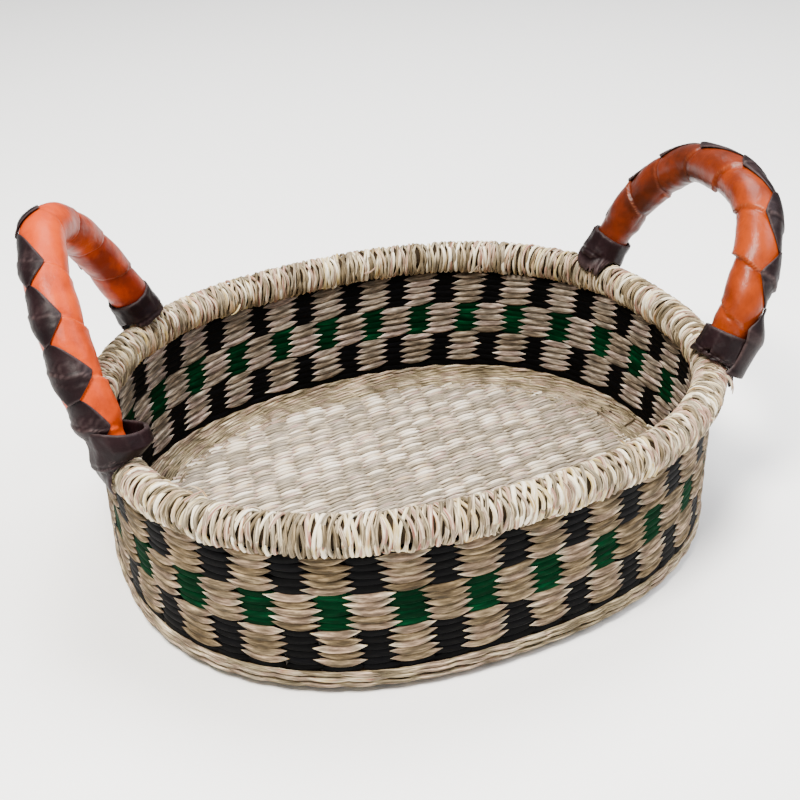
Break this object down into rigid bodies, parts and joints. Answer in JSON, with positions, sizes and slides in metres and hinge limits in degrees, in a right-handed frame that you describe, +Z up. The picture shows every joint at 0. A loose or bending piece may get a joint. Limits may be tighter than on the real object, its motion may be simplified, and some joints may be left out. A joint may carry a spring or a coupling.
{
  "type": "storage basket",
  "caption": "Oval woven grass storage basket with a checked wall and leather-covered hoop handles that lean out and tilt on the rim.",
  "frame": {"origin": "middle of the floor's underside, on the plane the basket stands on", "axes": "+Z up; +X along the oval's length, towards the handle that stands square on its end; the other handle, at -X, stands askew"},
  "size_m": [0.4794, 0.3526, 0.2399],
  "materials": {
    "natural_grass": "woven natural grass, matte",
    "pale_grass": "lashed pale grass, matte",
    "black_grass": "twined grass dyed black, with natural checks",
    "green_grass": "twined grass dyed green, with natural checks",
    "orange_leather": "smooth orange leather, semi-matte",
    "brown_leather": "smooth dark brown leather, semi-matte"
  },
  "bodies": {
    "basket": {"floor_weave": "natural_grass", "foot_band": "natural_grass", "lower_line_outer": "black_grass", "lower_line_inner": "black_grass", "lower_check_band": "black_grass", "middle_check_band": "green_grass", "upper_check_band": "black_grass", "upper_line_outer": "black_grass", "upper_line_inner": "black_grass", "rim_core": "natural_grass", "rim_wrap": "pale_grass", "stake_cross_01": "natural_grass", "stake_cross_02": "natural_grass", "stake_cross_03": "natural_grass", "stake_cross_04": "natural_grass", "stake_cross_05": "natural_grass", "stake_cross_06": "natural_grass", "stake_cross_07": "natural_grass", "stake_cross_08": "natural_grass", "stake_cross_09": "natural_grass", "stake_cross_10": "natural_grass", "stake_cross_11": "natural_grass", "stake_cross_12": "natural_grass", "stake_cross_13": "natural_grass", "stake_cross_14": "natural_grass", "stake_cross_15": "natural_grass", "stake_long_01": "natural_grass", "stake_long_02": "natural_grass", "stake_long_03": "natural_grass", "stake_long_04": "natural_grass", "stake_long_05": "natural_grass", "stake_long_06": "natural_grass", "stake_long_07": "natural_grass", "stake_long_08": "natural_grass", "stake_long_09": "natural_grass", "stake_long_10": "natural_grass", "stake_long_11": "natural_grass", "stake_long_12": "natural_grass", "stake_long_13": "natural_grass", "stake_long_14": "natural_grass"},
    "right_handle": {"right_handle_core": "natural_grass", "right_handle_sleeve": "orange_leather", "right_handle_lace": "brown_leather", "right_cuff_front": "brown_leather", "right_cuff_rear": "brown_leather"},
    "left_handle": {"left_handle_core": "natural_grass", "left_handle_sleeve": "orange_leather", "left_handle_lace": "brown_leather", "left_cuff_front": "brown_leather", "left_cuff_rear": "brown_leather"}
  },
  "joints": [
    {"name": "right_handle_tilt", "type": "hinge", "parent": "basket", "child": "right_handle", "pos_m": [0.18168, -0.00948, 0.11457], "axis": [0.0618, 0.9981, 0], "range_deg": [-15, 12]},
    {"name": "left_handle_tilt", "type": "hinge", "parent": "basket", "child": "left_handle", "pos_m": [-0.16802, 0.04696, 0.11457], "axis": [-0.3299, -0.944, 0], "range_deg": [-15, 12]}
  ]
}
